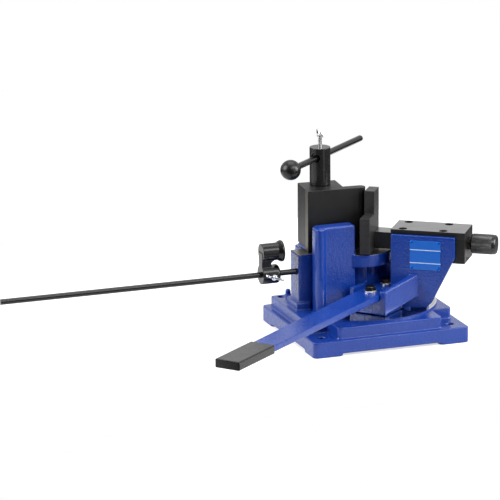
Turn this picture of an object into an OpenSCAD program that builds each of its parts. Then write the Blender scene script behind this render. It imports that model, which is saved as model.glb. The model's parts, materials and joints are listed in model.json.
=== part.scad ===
// Universal bench bending machine: a flat bar stands on edge in the slot between
// the black die and the blue front wall, an eccentric spindle clamps it, and the
// swing arm carries the press jaw round the die nose when the lever is pulled.
// Millimetres. Origin: centre of the four bench bolts on the plane of the feet,
// +X along the stop rod towards the knob, +Y to the back, +Z up.

/* [Base] */
// Length of the foot plate along X
base_length = 260; // [256:2:290]
// Width of the foot plate along Y
base_width = 238; // [232:2:260]
// Height of the foot plate's top face
plate_height = 25; // [20:1:28]
// Height of the raised platform
platform_height = 43; // [40:1:46]
// Diameter of the bench bolt holes
bolt_hole = 11; // [9:0.5:14]

/* [Tower] */
// Height of the slot floor, on which the bar stands
floor_height = 132; // [128:1:140]
// Height of the front wall above the slot floor
wall_rise = 49; // [35:1:60]
// Thickness of the front wall
wall_thickness = 28; // [24:1:30]
// Slot width with the clamp closed
slot_width = 9; // [6:0.5:12]
// Thickness of the pivot lug
lug_thickness = 20; // [16:1:22]

/* [Die] */
// Length of the die plate from the nose axis to its left end
die_length = 88; // [80:1:92]
// Thickness of the die plate, twice the nose radius
die_thickness = 16; // [14:1:18]
// Height of the die above the slot floor
die_rise = 99.5; // [80:0.5:120]
// Swing of the die from clamped to open
open_angle = 4.5; // [3:0.5:5]

/* [Clamp] */
// Diameter of the spindle head
head_diameter = 33; // [28:1:36]
// Height of the spindle head above the die
head_height = 60; // [50:1:80]
// Diameter of the tommy bar
tommy_diameter = 10; // [8:0.5:12]
// Length of the tommy bar from the ball centre to the tip
tommy_length = 240; // [180:5:300]
// Diameter of the ball knob
ball_diameter = 32; // [26:1:36]

/* [Swing arm] */
// Diameter of the pivot pin
pivot_diameter = 22; // [20:1:24]
// Diameter of the arm hub
hub_diameter = 62; // [56:1:64]
// Direction of the arm at rest, in plan
arm_angle = -35; // [-36:1:-30]
// Direction of the lever from the arm
lever_turn = -105.5; // [-106:0.5:-104]
// Width of the lever bar in its socket
lever_width = 42; // [38:1:42]
// Width of the lever bar inside the grip
lever_end_width = 38; // [30:1:40]
// Thickness of the lever bar
lever_thickness = 10; // [8:1:10]
// Reach of the lever past the socket
lever_reach = 425; // [300:5:600]

/* [Slider] */
// Length of the slider housing
housing_length = 119; // [112:1:130]
// Width of the slider housing
housing_width = 58; // [56:1:64]
// Width of the slider bar
slider_width = 30; // [26:1:30]
// Height of the slider bar
slider_height = 27; // [22:1:28]
// Gap between the die nose and the press jaw
jaw_gap = 3; // [2:0.5:6]
// Travel of the press jaw away from the nose
jaw_travel = 25; // [15:1:25]
// Diameter of the adjusting knob
knob_diameter = 31; // [26:1:34]
// Length of the adjusting knob
knob_length = 40; // [30:1:50]

/* [Stop] */
// Diameter of the stop rod
rod_diameter = 9; // [8:0.5:10]
// Length of the stop rod outside the tower
rod_reach = 485; // [300:5:600]
// Place of the stop face along X
stop_place = -131.5; // [-300:0.5:-125]
// Diameter of the stop face
stop_diameter = 34; // [28:1:36]

/* [Hidden] */
$fn = 64;
eps = 0.5;
run_gap = 0.06;
side_gap = 0.4;

// Pivot axis of the arm and the die nose
pivot = [0, 19];
pivot_r = pivot_diameter / 2;
hub_r = hub_diameter / 2;

// Base levels and places
foot_rise = 4;
plate_corner = 7;
platform_corner = 5;
pad_size = [50, 48];
platform_half = base_length / 2 - 9;
platform_front = 8 - base_width / 2;
platform_back = base_width / 2 - 15;
notch_size = [34, 45];
bolt_inset = [23, 27];
bolt_spacing = [base_length - 2 * bolt_inset[0], base_width - 2 * bolt_inset[1]];
boss_place = [-93, platform_back - 6];
boss_radius = 4.5;
boss_rise = 6;
key_screw_radius = 4;
key_screw_drop = 14;
key_screw_inset = 4;
pin_bottom = foot_rise + 6;
ring_radius = platform_half;
ring_inner = 62;
ring_thickness = 3;
ring_start = -125;
ring_end = 20;
ring_screw_radius = 2.5;
ring_screw_place = ring_inner + 6;
ring_screw_turns = [ring_start + 8, (ring_start + ring_end) / 2, ring_end - 8];

// Tower levels and places
die_front = pivot[1] - die_thickness / 2;
wall_back = die_front - slot_width;
wall_front = wall_back - wall_thickness;
wall_right = -24;
wall_left = -90;
wall_top = floor_height + wall_rise;
wall_edge = 4;
edge_bite = 0.3;
column_right = -38;
column_front = 9.5;
column_back = 74;
pier_left = -107.5;
pier_back = 46.5;
riser_front = 36;
riser_left = wall_left + 5.5;
riser_top = floor_height + 3;
plinth_rise = 12;
plinth_margin = 5;
joint_lap = 2;
web_left = -68;
lug_bottom = floor_height - lug_thickness;
lug_radius = pivot[1] - wall_front + 5;
hub_room = 3;
panel_depth = 4.5;
panel_front = wall_front + panel_depth;
bead_right = -73;
bead_corner = 8.2;
bead_drop = 1.5;
lug_fillet = 7;

// Die and clamp
spindle_axis = [-53, 57];
cam_radius = 11;
journal_radius = 10;
bush_radius = 13;
cam_offset = (pivot[0] - spindle_axis[0]) * sin(open_angle);
cam_play = cam_offset * 0.22 + 0.4;
cam_swing = cam_offset + 1;
slot_roof = 8;
neck_radius = 7;
neck_room = cam_offset * 0.65 + 0.6;
neck_seat = 22;
die_bottom = floor_height + side_gap;
die_top = floor_height + die_rise;
block_bottom = riser_top + side_gap;
block_right = 26;
block_back = 51;
spigot_radius = 4.5;
spigot_length = 18;
journal_depth = 38;
journal_bottom = floor_height - journal_depth;
head_bottom = die_top + side_gap;
head_top = head_bottom + head_height;
tommy_height = head_top - 16;
tommy_angle = 41.5;
tommy_ball_reach = 98;
lock_screw_radius = 3;
lock_screw_rise = 20;
lock_wing_turn = 85;
mouth_radius = 7.5;
mouth_depth = 5;
mouth_rise = 1.5;
tip_gap = 0.1;
bush_floor = 6;
block_screw_places = [-die_length + 9, -block_right - 9];
block_screw_levels = [block_bottom + 14, die_top - 14];
block_screw_tip = die_thickness - 5;

// Swing arm levels and places, u along the arm and v across it
hub_bottom = platform_height + 4;
hub_top = lug_bottom - side_gap;
hub_bush_length = 24;
hub_bush_wall = 3;
hub_bush_flange = 2;
slider_axis = floor_height + 18;
housing_start = 56;
housing_drop = 27;
housing_bottom = slider_axis - housing_drop;
cover_thickness = 9.5;
housing_top = slider_axis + slider_height / 2 + cover_thickness;
housing_wall_end = 12;
oil_hole_radius = 2.5;
oil_hole_depth = 6;
oil_hole_side = -12.4;
oil_hole_level = housing_bottom + 5.8;
shelf_thickness = 14;
plate_front = -housing_width / 2 - 7.5;
plate_back = -housing_width / 2 - side_gap / 2;
arm_plate_left = housing_start + 2;
arm_plate_right = 160;
arm_plate_top = housing_top - 7;
arm_toe = [116, hub_bottom + 4];
arm_heel = [124, hub_bottom + 12];
arm_slope_top = floor_height;
shelf_right = arm_plate_right - 16;
body_top = hub_top - 2;
body_front = hub_r - 2;
body_back = hub_r - 12;
rib_half = 8;
rib_right = 110;
post_width = 12;
lever_offset = 49.7;
lever_high = lever_offset + lever_width / 2;
lever_low = lever_offset - lever_width / 2;
socket_wall = 11.5;
socket_start = -22;
socket_end = 66;
socket_top = 85;
socket_low = 18;
pocket_low = 25;
lever_top = 80;
lever_bottom = lever_top - lever_thickness;
lever_inner_end = -16;
lever_bolt_places = [3, 56];
lever_bolt_radius = 5;
bolt_head_radius = 8.4;
bolt_head_height = 6.5;
bolt_head_turn = 15;
washer_radius = 10.5;
washer_thickness = 2.5;
gusset_top = 104;
gusset_right = 103;
gusset_foot = hub_bottom + 22;
grip_length = 103;
grip_wall = 2;
grip_corner = 2;
lever_end = socket_end + lever_reach;
housing_screw_u = [18, 83];
housing_screw_v = 21;
screw_radius = 4;
screw_head_radius = 6.5;
screw_head_height = 8;
screw_sink = 3;
key_radius = 3.4;
key_depth = 4;
label_place = [113.5, 135.5];
label_size = [49, 47];
label_thickness = 0.8;
label_rivet = [label_size[0] / 2 - 3, label_size[1] / 2 - 3];
label_rivet_radius = 1.2;
label_rivet_depth = 4;
label_rivet_head = 0.4;

// Slider and jaw
nose_radius = die_thickness / 2;
jaw_face = nose_radius + jaw_gap;
jaw_thickness = 16;
jaw_clearance = 2;
jaw_lower_rise = 60;
jaw_bottom = floor_height + jaw_clearance;
jaw_step = floor_height + jaw_lower_rise;
jaw_top = die_top - 2.5;
jaw_back = 14;
jaw_front_upper = -17;
jaw_front_lower = -49;
slider_start = jaw_face + jaw_thickness;
slider_length = housing_start + housing_length - housing_wall_end - slider_start - jaw_travel - 4;
slider_end = slider_start + slider_length;
slide_gap = 0.1;
jaw_screw_spread = 8;
jaw_screw_radius = 3;
jaw_screw_head = 5;
jaw_screw_grip = 12;
jaw_key_radius = 2.6;
jaw_key_depth = 3;
screw_bore_depth = 62;
adjust_radius = 6;
adjust_collar_length = 3;
adjust_collar_radius = 10;
housing_end = housing_start + housing_length;
knob_neck = 5;
knob_start = housing_end + knob_neck;
knob_chamfer = 2;
knob_neck_radius = knob_diameter / 2 - 5;
knob_cap = 6;
grub_radius = 2;
grub_place = 6;

// Stop
rod_axis = [20, floor_height - 28.5];
rod_radius = rod_diameter / 2;
rod_seat = 34;
set_screw_inset = 10;
set_screw_radius = 4;
stop_rise = 36;
stop_length = 36;
stop_boss_radius = 14;
stop_clamp_radius = 15;
stop_shoulder = 5;
stop_boss_length = 30;
stop_neck_half = 8;
stop_neck_length = 20;
stop_slot_radius = 4.5;
stop_step = 1;
stop_flange_length = 9;
stop_flange_rim = 3.5;
wing_radius = 3;
wing_rise = 7;
wing_turn = -20;
wing_thickness = 3;
wing_width = 4;
wing_hub_height = 5;
wing_hub_wall = 1.6;
wing_lean = 60;
wing_reach = 11;
wing_lobe = 4.3;

// Colours
enamel_blue = [0.17, 0.24, 0.62];
oxide_black = [0.12, 0.12, 0.12];
bright_steel = [0.78, 0.78, 0.76];
bronze = [0.70, 0.50, 0.24];
rubber_grey = [0.28, 0.28, 0.27];
label_blue = [0.05, 0.42, 0.82];

// Helper shapes

// A block with round plan corners and rounded top edges, given by its low and high corners
module eased_block(low, high, corner, edge) {
    intersection() {
        translate([0, 0, low[2]])
            linear_extrude(high[2] - low[2])
                round_span([low[0], low[1]], [high[0], high[1]], corner);
        translate([low[0] - 1, 0, 0])
            rotate([90, 0, 90])
                linear_extrude(high[0] - low[0] + 2)
                    round_span([low[1] - edge_bite, low[2] - 2 * edge], [high[1] + edge_bite, high[2]], edge);
        translate([0, high[1] + 1, 0])
            rotate([90, 0, 0])
                linear_extrude(high[1] - low[1] + 2)
                    round_span([low[0] - edge_bite, low[2] - 2 * edge], [high[0] + edge_bite, high[2]], edge);
    }
}

// A rectangle with round corners, centred
module round_rect(size, radius) {
    square([size[0] - 2 * radius, size[1]], center = true);
    square([size[0], size[1] - 2 * radius], center = true);
    for (x = [-1, 1], y = [-1, 1])
        translate([x * (size[0] / 2 - radius), y * (size[1] / 2 - radius)])
            circle(radius);
}

// The same rectangle given by its low and high corners
module round_span(low, high, radius) {
    translate((low + high) / 2)
        round_rect(high - low, radius);
}

// A box given by its low and high corners
module span(low, high) {
    translate(low)
        cube(high - low);
}

// A vertical round bar from one level to another
module post(place, radius, low, high) {
    translate([place[0], place[1], low])
        cylinder(r = radius, h = high - low);
}

// A round bar along X from x0 to x1
module rod_bar(y, z, radius, x0, x1) {
    translate([x0, y, z])
        rotate([0, 90, 0])
            cylinder(r = radius, h = x1 - x0);
}

// Children in the arm's own plan axes, with the pivot as origin
module on_arm() {
    translate([pivot[0], pivot[1], 0])
        rotate(arm_angle)
            children();
}

// Children in the lever's plan axes: x along the lever, y away from the pivot
module on_lever() {
    on_arm()
        rotate(lever_turn)
            children();
}

// Children in the die's plan axes, open by the clamp's full swing
module on_die() {
    translate([pivot[0], pivot[1], 0])
        rotate(-open_angle)
            children();
}

// Children on the tommy bar's axis, z from the ball to the tip
module on_tommy() {
    translate([spindle_axis[0], spindle_axis[1], tommy_height])
        rotate([0, 90, tommy_angle])
            children();
}

// A round bar along the arm from u0 to u1 on the slider axis
module arm_bar(radius, u0, u1) {
    rod_bar(0, slider_axis, radius, u0, u1);
}

// Wing head on a stem along +Z, its two wings in the XZ plane
module thumb_wings(stem_radius) {
    cylinder(r = stem_radius + wing_hub_wall, h = wing_hub_height);
    for (side = [-1, 1]) {
        translate([side * wing_reach, 0, wing_hub_height + 1])
            rotate([90, 0, 0])
                cylinder(r = wing_lobe, h = wing_thickness, center = true);
        translate([0, 0, wing_hub_height / 2])
            rotate([0, side * wing_lean, 0])
                translate([-wing_width / 2, -wing_thickness / 2, 0])
                    cube([wing_width, wing_thickness, wing_reach]);
    }
}

// Base

module foot_plate() {
    translate([0, 0, foot_rise])
        linear_extrude(plate_height - foot_rise)
            round_rect([base_length, base_width], plate_corner);
    for (x = [-1, 1], y = [-1, 1])
        translate([x * (base_length - pad_size[0]) / 2, y * (base_width - pad_size[1]) / 2, 0])
            linear_extrude(foot_rise + eps)
                round_rect(pad_size, plate_corner);
}

// Platform with its front corners cut away for the bench bolts
module platform() {
    translate([0, 0, plate_height - eps])
        linear_extrude(platform_height - plate_height + eps) {
            round_span([-platform_half, platform_front + notch_size[1]],
                [platform_half, platform_back], platform_corner);
            round_span([notch_size[0] - platform_half, platform_front],
                [platform_half - notch_size[0], platform_back], platform_corner);
        }
}

// Small round-topped boss at the back of the platform
module back_boss() {
    post(boss_place, boss_radius, platform_height - eps, platform_height + boss_rise);
    translate([boss_place[0], boss_place[1], platform_height + boss_rise])
        sphere(r = boss_radius);
}

// Wall in front of the slot: a panel with eased top edges, a round bead down its left
// corner and a hollow fillet where its right end meets the lug
module front_wall() {
    wall_low = platform_height - eps;
    fillet_axis = [wall_right + lug_fillet - edge_bite, floor_height + lug_fillet - edge_bite];
    eased_block([wall_left + wall_edge, panel_front, wall_low], [wall_right, wall_back, wall_top], 1, wall_edge);
    eased_block([wall_left, wall_front, wall_low], [bead_right, wall_back - 1, wall_top - bead_drop],
        bead_corner, wall_edge);
    difference() {
        span([wall_right - joint_lap, panel_front + wall_edge, floor_height - joint_lap],
            [fillet_axis[0], wall_back - wall_edge, fillet_axis[1]]);
        translate([fillet_axis[0], 0, fillet_axis[1]])
            rotate([90, 0, 0])
                cylinder(r = lug_fillet, h = 3 * wall_thickness, center = true);
    }
}

// Column, pier and web behind the slot
module rear_column() {
    span([wall_left, column_front, platform_height - eps], [column_right, column_back, floor_height]);
    span([pier_left, column_front, platform_height - eps], [wall_left + joint_lap, pier_back, floor_height]);
    span([riser_left, riser_front, floor_height - eps], [column_right, column_back, riser_top]);
    span([web_left, wall_back - joint_lap, platform_height - eps],
        [column_right, column_front + joint_lap, floor_height]);
    span([pier_left - plinth_margin, column_front - plinth_margin, platform_height - eps],
        [wall_left + joint_lap, pier_back + plinth_margin, platform_height + plinth_rise]);
}

// Round lug that carries the pivot and the nose of the die
module pivot_lug() {
    post(pivot, lug_radius, lug_bottom, floor_height);
    span([web_left, panel_front + wall_edge, lug_bottom], [pivot[0], pivot[1] + lug_radius, floor_height]);
    span([wall_right - joint_lap, panel_front, lug_bottom], [pivot[0], pivot[1], floor_height]);
}

module base_casting() color(enamel_blue)
    difference() {
        union() {
            foot_plate();
            platform();
            back_boss();
            difference() {
                union() {
                    front_wall();
                    rear_column();
                }
                post(pivot, hub_r + hub_room, platform_height, lug_bottom + eps);
            }
            pivot_lug();
        }
        for (x = [-1, 1], y = [-1, 1])
            post([x * bolt_spacing[0] / 2, y * bolt_spacing[1] / 2], bolt_hole / 2, -eps, platform_height + eps);
        post(pivot, pivot_r, pin_bottom, floor_height + eps);
        post(spindle_axis, bush_radius, journal_bottom, riser_top + eps);
        rod_bar(rod_axis[0], rod_axis[1], rod_radius, pier_left - eps, pier_left + rod_seat);
        translate([pier_left + set_screw_inset, pier_back + eps, rod_axis[1]])
            rotate([90, 0, 0])
                cylinder(r = set_screw_radius, h = pier_back - rod_axis[0] + eps);
        translate([pivot[0], platform_back + eps, platform_height - key_screw_drop])
            rotate([90, 0, 0])
                cylinder(r = key_screw_radius, h = platform_back - pivot[1] - pivot_r + 2 * eps);
    }

module scale_sector() color(bright_steel)
    translate([pivot[0], pivot[1], platform_height])
        difference() {
            rotate(ring_start)
                rotate_extrude(angle = ring_end - ring_start)
                    translate([ring_inner, 0])
                        square([ring_radius - ring_inner, ring_thickness]);
            for (turn = ring_screw_turns)
                rotate(turn)
                    translate([ring_screw_place, 0, -eps])
                        cylinder(r = ring_screw_radius, h = ring_thickness + 2 * eps);
        }

module scale_screws() color(bright_steel)
    translate([pivot[0], pivot[1], platform_height])
        for (turn = ring_screw_turns)
            rotate(turn)
                translate([ring_screw_place, 0, 0])
                    cylinder(r = ring_screw_radius, h = ring_thickness);

// Pin through platform, arm hub and lug, with a thin spigot for the die nose
module pivot_pin() color(bright_steel) {
    post(pivot, pivot_r, pin_bottom, floor_height);
    post(pivot, spigot_radius, floor_height - eps, floor_height + spigot_length);
}

// Screw from the back of the platform that holds the pivot pin
module pivot_key_screw() color(oxide_black)
    translate([pivot[0], platform_back - key_screw_inset, platform_height - key_screw_drop])
        rotate([90, 0, 0])
            cylinder(r = key_screw_radius, h = platform_back - key_screw_inset - pivot[1] - pivot_r);

module thrust_washer() color(bronze)
    difference() {
        post(pivot, hub_r - 3, platform_height, hub_bottom - hub_bush_flange - slide_gap);
        post(pivot, pivot_r + side_gap / 2, platform_height - eps, hub_bottom);
    }

module spindle_bush() color(bronze)
    difference() {
        post(spindle_axis, bush_radius, journal_bottom, riser_top);
        post(spindle_axis, journal_radius + run_gap, journal_bottom + bush_floor, riser_top + eps);
    }

module stop_rod() color(oxide_black)
    rod_bar(rod_axis[0], rod_axis[1], rod_radius, pier_left - rod_reach, pier_left + rod_seat);

module rod_set_screw() color(oxide_black)
    translate([pier_left + set_screw_inset, pier_back, rod_axis[1]])
        rotate([90, 0, 0])
            cylinder(r = set_screw_radius, h = pier_back - rod_axis[0] - rod_radius);

// Die and clamp

module bending_die() color(oxide_black)
    on_die()
        difference() {
            union() {
                post([0, 0], nose_radius, die_bottom, die_top);
                span([-die_length, -nose_radius, die_bottom], [0, nose_radius, die_top]);
            }
            post([0, 0], spigot_radius + run_gap, die_bottom - eps, floor_height + spigot_length + 1);
            for (x = block_screw_places, z = block_screw_levels)
                translate([x, nose_radius + eps, z])
                    rotate([90, 0, 0])
                        cylinder(r = screw_radius, h = block_screw_tip + eps);
        }

// Pocket for the cam's swing, and the smaller hole in its roof for the neck
module cam_slot() {
    half = cam_radius + cam_play;
    roof = die_top - slot_roof;
    for (x = [-cam_swing, cam_swing])
        post([x, 0], half, block_bottom - eps, roof);
    span([-cam_swing, -half, block_bottom - eps], [cam_swing, half, roof]);
    post([cam_offset / 3, -cam_offset / 2], neck_radius + neck_room, roof - eps, die_top + eps);
}

// Block behind the die that carries the cam
module clamp_block() color(oxide_black)
    on_die()
        difference() {
            span([-die_length, nose_radius, block_bottom], [-block_right, block_back, die_top]);
            rotate(open_angle)
                translate([spindle_axis[0] - pivot[0], spindle_axis[1] - pivot[1] + cam_offset, 0])
                    cam_slot();
            for (x = block_screw_places, z = block_screw_levels)
                translate([x, block_back + eps, z])
                    rotate([90, 0, 0]) {
                        cylinder(r = screw_radius, h = block_back - nose_radius + 2 * eps);
                        cylinder(r = screw_head_radius, h = screw_head_height + eps);
                    }
        }

module block_screws() color(oxide_black)
    on_die()
        for (x = block_screw_places, z = block_screw_levels)
            translate([x, block_back, z])
                rotate([90, 0, 0])
                    difference() {
                        union() {
                            cylinder(r = screw_head_radius, h = screw_head_height);
                            cylinder(r = screw_radius, h = block_back - nose_radius + block_screw_tip);
                        }
                        translate([0, 0, -eps])
                            cylinder(r = key_radius, h = key_depth + eps, $fn = 6);
                    }

// Journal in the bush, eccentric cam in the block, neck up into the head
module clamp_spindle() color(oxide_black) {
    cam_top = die_top - slot_roof - side_gap;
    post(spindle_axis, journal_radius, journal_bottom + bush_floor, block_bottom - side_gap / 4);
    post(spindle_axis + [0, cam_offset], cam_radius, block_bottom - side_gap / 2, cam_top);
    post(spindle_axis, neck_radius, cam_top - eps, head_bottom + neck_seat);
}

module spindle_head() color(oxide_black)
    difference() {
        post(spindle_axis, head_diameter / 2, head_bottom, head_top);
        post(spindle_axis, neck_radius, head_bottom - eps, head_bottom + neck_seat);
        on_tommy()
            cylinder(d = tommy_diameter + 2 * run_gap, h = 2 * head_diameter, center = true);
        on_tommy()
            translate([-mouth_rise, 0, -head_diameter])
                cylinder(r = mouth_radius, h = head_diameter / 2 + mouth_depth);
        post(spindle_axis, lock_screw_radius + run_gap, tommy_height, head_top + eps);
    }

module tommy_bar() color(oxide_black)
    on_tommy() {
        translate([0, 0, -tommy_ball_reach])
            cylinder(d = tommy_diameter, h = tommy_length - tommy_diameter / 2);
        translate([0, 0, tommy_length - tommy_ball_reach - tommy_diameter / 2])
            sphere(d = tommy_diameter);
    }

module ball_knob() color(oxide_black)
    on_tommy()
        translate([0, 0, -tommy_ball_reach])
            difference() {
                sphere(d = ball_diameter);
                cylinder(d = tommy_diameter, h = ball_diameter);
            }

module bar_lock_screw() color(bright_steel) {
    wing_bottom = head_top + lock_screw_rise - wing_width;
    post(spindle_axis, lock_screw_radius, tommy_height + tommy_diameter / 2 + tip_gap, wing_bottom + eps);
    translate([spindle_axis[0], spindle_axis[1], wing_bottom])
        rotate(lock_wing_turn)
            thumb_wings(lock_screw_radius);
}

// Swing arm

// Upright plate in front of the housing, sloped at its lower right
module arm_plate() {
    translate([0, plate_back, 0])
        rotate([90, 0, 0])
            linear_extrude(plate_back - plate_front)
                polygon([
                    [arm_plate_left, hub_bottom], arm_toe, arm_heel, [arm_plate_right, arm_slope_top],
                    [arm_plate_right, arm_plate_top], [arm_plate_left, arm_plate_top]
                ]);
}

// Shelf under the housing and the ribs that carry it from the hub
module arm_body() {
    span([housing_start, plate_back - eps, housing_bottom - shelf_thickness],
        [shelf_right, housing_width / 2, housing_bottom]);
    span([0, -body_front, hub_bottom], [housing_start + post_width, body_back, body_top]);
    span([housing_start, -rib_half, hub_bottom], [rib_right, rib_half, housing_bottom - eps]);
    span([housing_start, plate_back - eps, hub_bottom],
        [housing_start + post_width, body_back, housing_bottom - eps]);
}

module lever_socket() {
    rotate(lever_turn)
        span([socket_start, socket_low, hub_bottom], [socket_end, lever_high + socket_wall, socket_top]);
}

// Web from the socket's outer wall to the plate, from the left to the right and up to the top on the plate
module gusset_web(left, top) {
    hull() {
        rotate(lever_turn)
            span([socket_end - 8, lever_high + 3, hub_bottom + joint_lap],
                [socket_end - eps, lever_high + socket_wall - eps, socket_top - eps]);
        span([left, plate_front + joint_lap, gusset_foot], [gusset_right, plate_front + 2 * joint_lap, top]);
    }
}

// Flat web level with the socket, and the outer wall that slopes up to the plate
module socket_gusset() {
    gusset_web(arm_plate_left + joint_lap, socket_top - eps);
    gusset_web(gusset_right - socket_wall, gusset_top);
}

// Room for the lever and its bolt heads, in the arm's axes
module lever_pocket(low, top) {
    rotate(lever_turn)
        span([lever_inner_end, low, lever_bottom], [lever_end, lever_high + side_gap / 2, top]);
}

module arm_casting() color(enamel_blue)
    on_arm()
        difference() {
            union() {
                post([0, 0], hub_r, hub_bottom, hub_top);
                arm_plate();
                difference() {
                    union() {
                        arm_body();
                        lever_socket();
                        socket_gusset();
                    }
                    lever_pocket(pocket_low, body_top + joint_lap);
                }
            }
            lever_pocket(lever_low - side_gap / 2, lever_top + side_gap / 2);
            post([0, 0], pivot_r + hub_bush_wall, hub_bottom - eps, hub_top + eps);
            rotate(lever_turn)
                for (place = lever_bolt_places)
                    post([place, lever_offset], lever_bolt_radius, hub_bottom - eps, lever_top);
            housing_screw_holes(screw_radius, housing_bottom - shelf_thickness - eps, housing_bottom + eps);
            on_label()
                rotate([-90, 0, 0])
                    translate([0, 0, -eps])
                        cylinder(r = label_rivet_radius, h = label_rivet_depth + eps);
        }

module upper_hub_bush() color(bronze)
    on_arm()
        difference() {
            post([0, 0], pivot_r + hub_bush_wall, hub_top - hub_bush_length, hub_top);
            post([0, 0], pivot_r + run_gap, hub_top - hub_bush_length - eps, hub_top + eps);
        }

// Bush with a flange that rests on the thrust washer
module lower_hub_bush() color(bronze)
    on_arm()
        difference() {
            union() {
                post([0, 0], pivot_r + hub_bush_wall, hub_bottom - eps, hub_bottom + hub_bush_length);
                post([0, 0], hub_r - 6, hub_bottom - hub_bush_flange, hub_bottom);
            }
            post([0, 0], pivot_r + run_gap, hub_bottom - hub_bush_flange - eps,
                hub_bottom + hub_bush_length + eps);
        }

// Children at the four rivets of the label, on the plate's front face
module on_label() {
    for (x = [-1, 1], z = [-1, 1])
        translate([label_place[0] + x * label_rivet[0], plate_front, label_place[1] + z * label_rivet[1]])
            children();
}

module label_plate() color(label_blue)
    on_arm()
        difference() {
            translate([label_place[0], plate_front, label_place[1]])
                rotate([90, 0, 0])
                    linear_extrude(label_thickness)
                        round_rect(label_size, 2);
            on_label()
                rotate([90, 0, 0])
                    translate([0, 0, -eps])
                        cylinder(r = label_rivet_radius, h = label_thickness + 2 * eps);
        }

module label_rivets() color(bright_steel)
    on_arm()
        on_label()
            translate([0, label_rivet_depth, 0])
                rotate([90, 0, 0])
                    cylinder(r = label_rivet_radius, h = label_rivet_depth + label_thickness + label_rivet_head);

// Slider, housing and jaw

module slider_channel() {
    span([housing_start - eps, -slider_width / 2 - slide_gap, slider_axis - slider_height / 2 - slide_gap],
        [housing_end - housing_wall_end, slider_width / 2 + slide_gap, housing_top - cover_thickness + eps]);
}

module housing_screw_holes(radius, low, high) {
    for (u = housing_screw_u, v = [-1, 1])
        post([housing_start + u, v * housing_screw_v], radius, low, high);
}

module slider_housing() color(oxide_black)
    on_arm()
        difference() {
            span([housing_start, -housing_width / 2, housing_bottom],
                [housing_end, housing_width / 2, housing_top - cover_thickness]);
            slider_channel();
            arm_bar(adjust_collar_radius, housing_end - housing_wall_end - eps, housing_end + eps);
            housing_screw_holes(screw_radius, housing_bottom - eps, housing_top);
            rod_bar(oil_hole_side, oil_hole_level, oil_hole_radius, housing_end - oil_hole_depth, housing_end + eps);
        }

module housing_cover() color(oxide_black)
    on_arm()
        difference() {
            span([housing_start, -housing_width / 2, housing_top - cover_thickness],
                [housing_end, housing_width / 2, housing_top]);
            housing_screw_holes(screw_radius, housing_top - cover_thickness - eps, housing_top);
            housing_screw_holes(screw_head_radius, housing_top - screw_head_height, housing_top + eps);
        }

module housing_screws() color(oxide_black)
    on_arm()
        difference() {
            union() {
                housing_screw_holes(screw_head_radius, housing_top - screw_head_height, housing_top - screw_sink);
                housing_screw_holes(screw_radius, housing_bottom - shelf_thickness + joint_lap,
                    housing_top - screw_head_height + eps);
            }
            for (u = housing_screw_u, v = [-1, 1])
                translate([housing_start + u, v * housing_screw_v, housing_top - screw_sink - key_depth])
                    cylinder(r = key_radius, h = key_depth + eps, $fn = 6);
        }

module adjuster_bush() color(bronze)
    on_arm()
        difference() {
            arm_bar(adjust_collar_radius, housing_end - housing_wall_end, housing_end);
            arm_bar(adjust_radius + run_gap, housing_end - housing_wall_end - eps, housing_end + eps);
        }

module slider_bar() color(oxide_black)
    on_arm()
        difference() {
            span([slider_start, -slider_width / 2, slider_axis - slider_height / 2],
                [slider_end, slider_width / 2, slider_axis + slider_height / 2 - slide_gap]);
            arm_bar(adjust_radius + run_gap, slider_end - screw_bore_depth, slider_end + eps);
            for (v = [-jaw_screw_spread, jaw_screw_spread])
                rod_bar(v, slider_axis, jaw_screw_radius, slider_start - eps, slider_start + jaw_screw_grip);
        }

// Jaw with a lower part that reaches forward past the front wall
module press_jaw() color(oxide_black)
    on_arm()
        difference() {
            union() {
                span([jaw_face, jaw_front_lower, jaw_bottom], [slider_start, jaw_back, jaw_step]);
                span([jaw_face, jaw_front_upper, jaw_step - eps], [slider_start, jaw_back, jaw_top]);
            }
            for (v = [-jaw_screw_spread, jaw_screw_spread]) {
                rod_bar(v, slider_axis, jaw_screw_radius, jaw_face - eps, slider_start + eps);
                rod_bar(v, slider_axis, jaw_screw_head, jaw_face - eps, jaw_face + jaw_screw_head + screw_sink);
            }
        }

module jaw_screws() color(oxide_black)
    on_arm()
        for (v = [-jaw_screw_spread, jaw_screw_spread])
            difference() {
                union() {
                    rod_bar(v, slider_axis, jaw_screw_head, jaw_face + screw_sink,
                        jaw_face + jaw_screw_head + screw_sink);
                    rod_bar(v, slider_axis, jaw_screw_radius, jaw_face + jaw_screw_head,
                        slider_start + jaw_screw_grip);
                }
                translate([jaw_face + screw_sink - eps, v, slider_axis])
                    rotate([0, 90, 0])
                        cylinder(r = jaw_key_radius, h = jaw_key_depth + eps, $fn = 6);
            }

module adjusting_screw() color(bright_steel)
    on_arm() {
        collar_end = housing_end - housing_wall_end - side_gap / 2;
        arm_bar(adjust_radius, slider_end - screw_bore_depth + jaw_travel + joint_lap,
            knob_start + knob_length - knob_cap);
        arm_bar(adjust_collar_radius - 1, collar_end - adjust_collar_length, collar_end);
    }

// Round knob with chamfered ends and a neck against the housing
module adjusting_knob() color(oxide_black)
    on_arm()
        difference() {
            translate([knob_start, 0, slider_axis])
                rotate([0, 90, 0])
                    rotate_extrude()
                        polygon([
                            [0, side_gap - knob_neck], [knob_neck_radius, side_gap - knob_neck],
                            [knob_neck_radius, 0], [knob_diameter / 2 - knob_chamfer, 0],
                            [knob_diameter / 2, knob_chamfer], [knob_diameter / 2, knob_length - knob_chamfer],
                            [knob_diameter / 2 - knob_chamfer, knob_length], [0, knob_length]
                        ]);
            arm_bar(adjust_radius, knob_start - knob_neck - eps, knob_start + knob_length - knob_cap);
            on_grub()
                cylinder(r = grub_radius, h = knob_diameter);
        }

module on_grub() {
    translate([knob_start + grub_place, 0, slider_axis + adjust_radius])
        children();
}

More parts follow.
